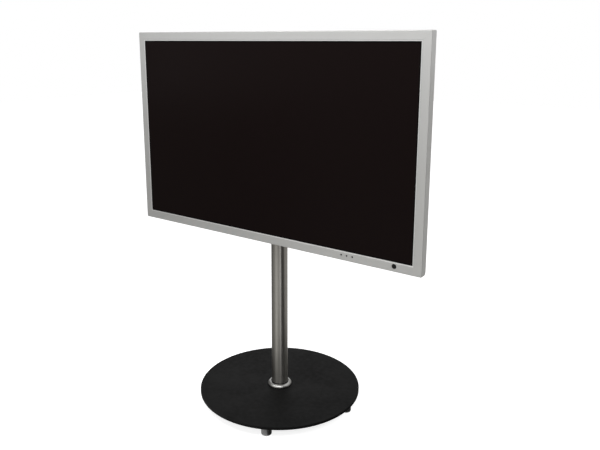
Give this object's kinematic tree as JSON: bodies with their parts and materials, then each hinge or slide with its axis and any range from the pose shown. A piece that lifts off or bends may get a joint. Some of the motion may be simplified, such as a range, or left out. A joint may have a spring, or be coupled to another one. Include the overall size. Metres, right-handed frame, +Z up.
{
  "type": "television stand with mount",
  "caption": "Round-based column stand with a swivel and tilt mount carrying a wide flat display in a silver frame.",
  "frame": {"origin": "on the floor, under the column's axis, at the middle of the footprint", "axes": "+X to the viewer's right along the screen, +Y away from the viewer (the screen faces -Y), +Z up"},
  "size_m": [1.21, 0.6, 1.3528],
  "materials": {
    "black_steel": "satin black powder coat on steel",
    "brushed_steel": "brushed along the column's length",
    "polished_steel": "polished",
    "zinc_steel": "zinc plated steel, satin",
    "silver_frame": "fine satin silver",
    "bright_bead": "polished edge",
    "screen_glass": "dark screen behind clear glass, glossy",
    "panel_black": "black, matt",
    "lens_black": "dark smoked lens, glossy",
    "black_plastic": "fine textured black moulding",
    "rubber": "matt black",
    "nylon": "natural nylon",
    "bronze": "sintered bronze, oiled",
    "board_green": "green circuit board with dark parts"
  },
  "bodies": {
    "stand": {"base_plate": "black_steel", "column": "brushed_steel", "base_ring": "polished_steel", "column_plug": "zinc_steel", "base_bolt": "zinc_steel", "base_washer": "zinc_steel", "bearing_housing": "zinc_steel", "upper_bush": "bronze", "lower_bush": "bronze"},
    "swivel_head": {"thrust_washer": "nylon", "swivel_spindle": "zinc_steel", "spindle_washer": "zinc_steel", "spindle_nut": "zinc_steel", "stop_pin": "zinc_steel", "yoke": "black_steel", "friction_disc_left": "nylon", "friction_disc_right": "nylon"},
    "button": {"power_button": "black_plastic"},
    "levelling_foot_1": {"foot_1": "zinc_steel", "foot_pad_1": "rubber"},
    "levelling_foot_2": {"foot_2": "zinc_steel", "foot_pad_2": "rubber"},
    "levelling_foot_3": {"foot_3": "zinc_steel", "foot_pad_3": "rubber"},
    "levelling_foot_4": {"foot_4": "zinc_steel", "foot_pad_4": "rubber"},
    "levelling_foot_5": {"foot_5": "zinc_steel", "foot_pad_5": "rubber"},
    "display": {"tilt_lug_left": "black_steel", "tilt_lug_right": "black_steel", "tilt_bolt_left": "zinc_steel", "tilt_bolt_right": "zinc_steel", "tilt_nut_left": "zinc_steel", "tilt_nut_right": "zinc_steel", "mount_plate": "black_steel", "vesa_screw_upper_left": "zinc_steel", "vesa_screw_upper_right": "zinc_steel", "vesa_screw_lower_left": "zinc_steel", "vesa_screw_lower_right": "zinc_steel", "frame_top": "silver_frame", "frame_bottom": "silver_frame", "frame_left": "silver_frame", "frame_right": "silver_frame", "screen_bead": "bright_bead", "corner_key_upper_left": "zinc_steel", "corner_key_upper_right": "zinc_steel", "corner_key_lower_left": "zinc_steel", "corner_key_lower_right": "zinc_steel", "screen_glass": "screen_glass", "panel_module": "panel_black", "chassis_plate": "zinc_steel", "rear_cover": "black_plastic", "mains_inlet": "black_plastic", "signal_sockets": "zinc_steel", "main_board": "board_green", "power_board": "board_green", "button_switch": "board_green", "indicator_lenses": "lens_black"}
  },
  "joints": [
    {"name": "swivel", "type": "hinge", "parent": "stand", "child": "swivel_head", "pos_m": [0, 0, 0.943], "axis": [0, 0, 1], "range_deg": [-45, 45]},
    {"name": "tilt", "type": "hinge", "parent": "swivel_head", "child": "display", "pos_m": [0, 0, 0.99], "axis": [-1, 0, 0], "range_deg": [0, 12]},
    {"name": "power_button_press", "type": "slide", "parent": "display", "child": "button", "axis": [0, 1, 0], "range_m": [0, 0.0015], "stiffness_N_per_m": 500},
    {"name": "foot_1_height", "type": "slide", "parent": "stand", "child": "levelling_foot_1", "axis": [0, 0, -1], "range_m": [0, 0.004]},
    {"name": "foot_2_height", "type": "slide", "parent": "stand", "child": "levelling_foot_2", "axis": [0, 0, -1], "range_m": [0, 0.004]},
    {"name": "foot_3_height", "type": "slide", "parent": "stand", "child": "levelling_foot_3", "axis": [0, 0, -1], "range_m": [0, 0.004]},
    {"name": "foot_4_height", "type": "slide", "parent": "stand", "child": "levelling_foot_4", "axis": [0, 0, -1], "range_m": [0, 0.004]},
    {"name": "foot_5_height", "type": "slide", "parent": "stand", "child": "levelling_foot_5", "axis": [0, 0, -1], "range_m": [0, 0.004]}
  ]
}
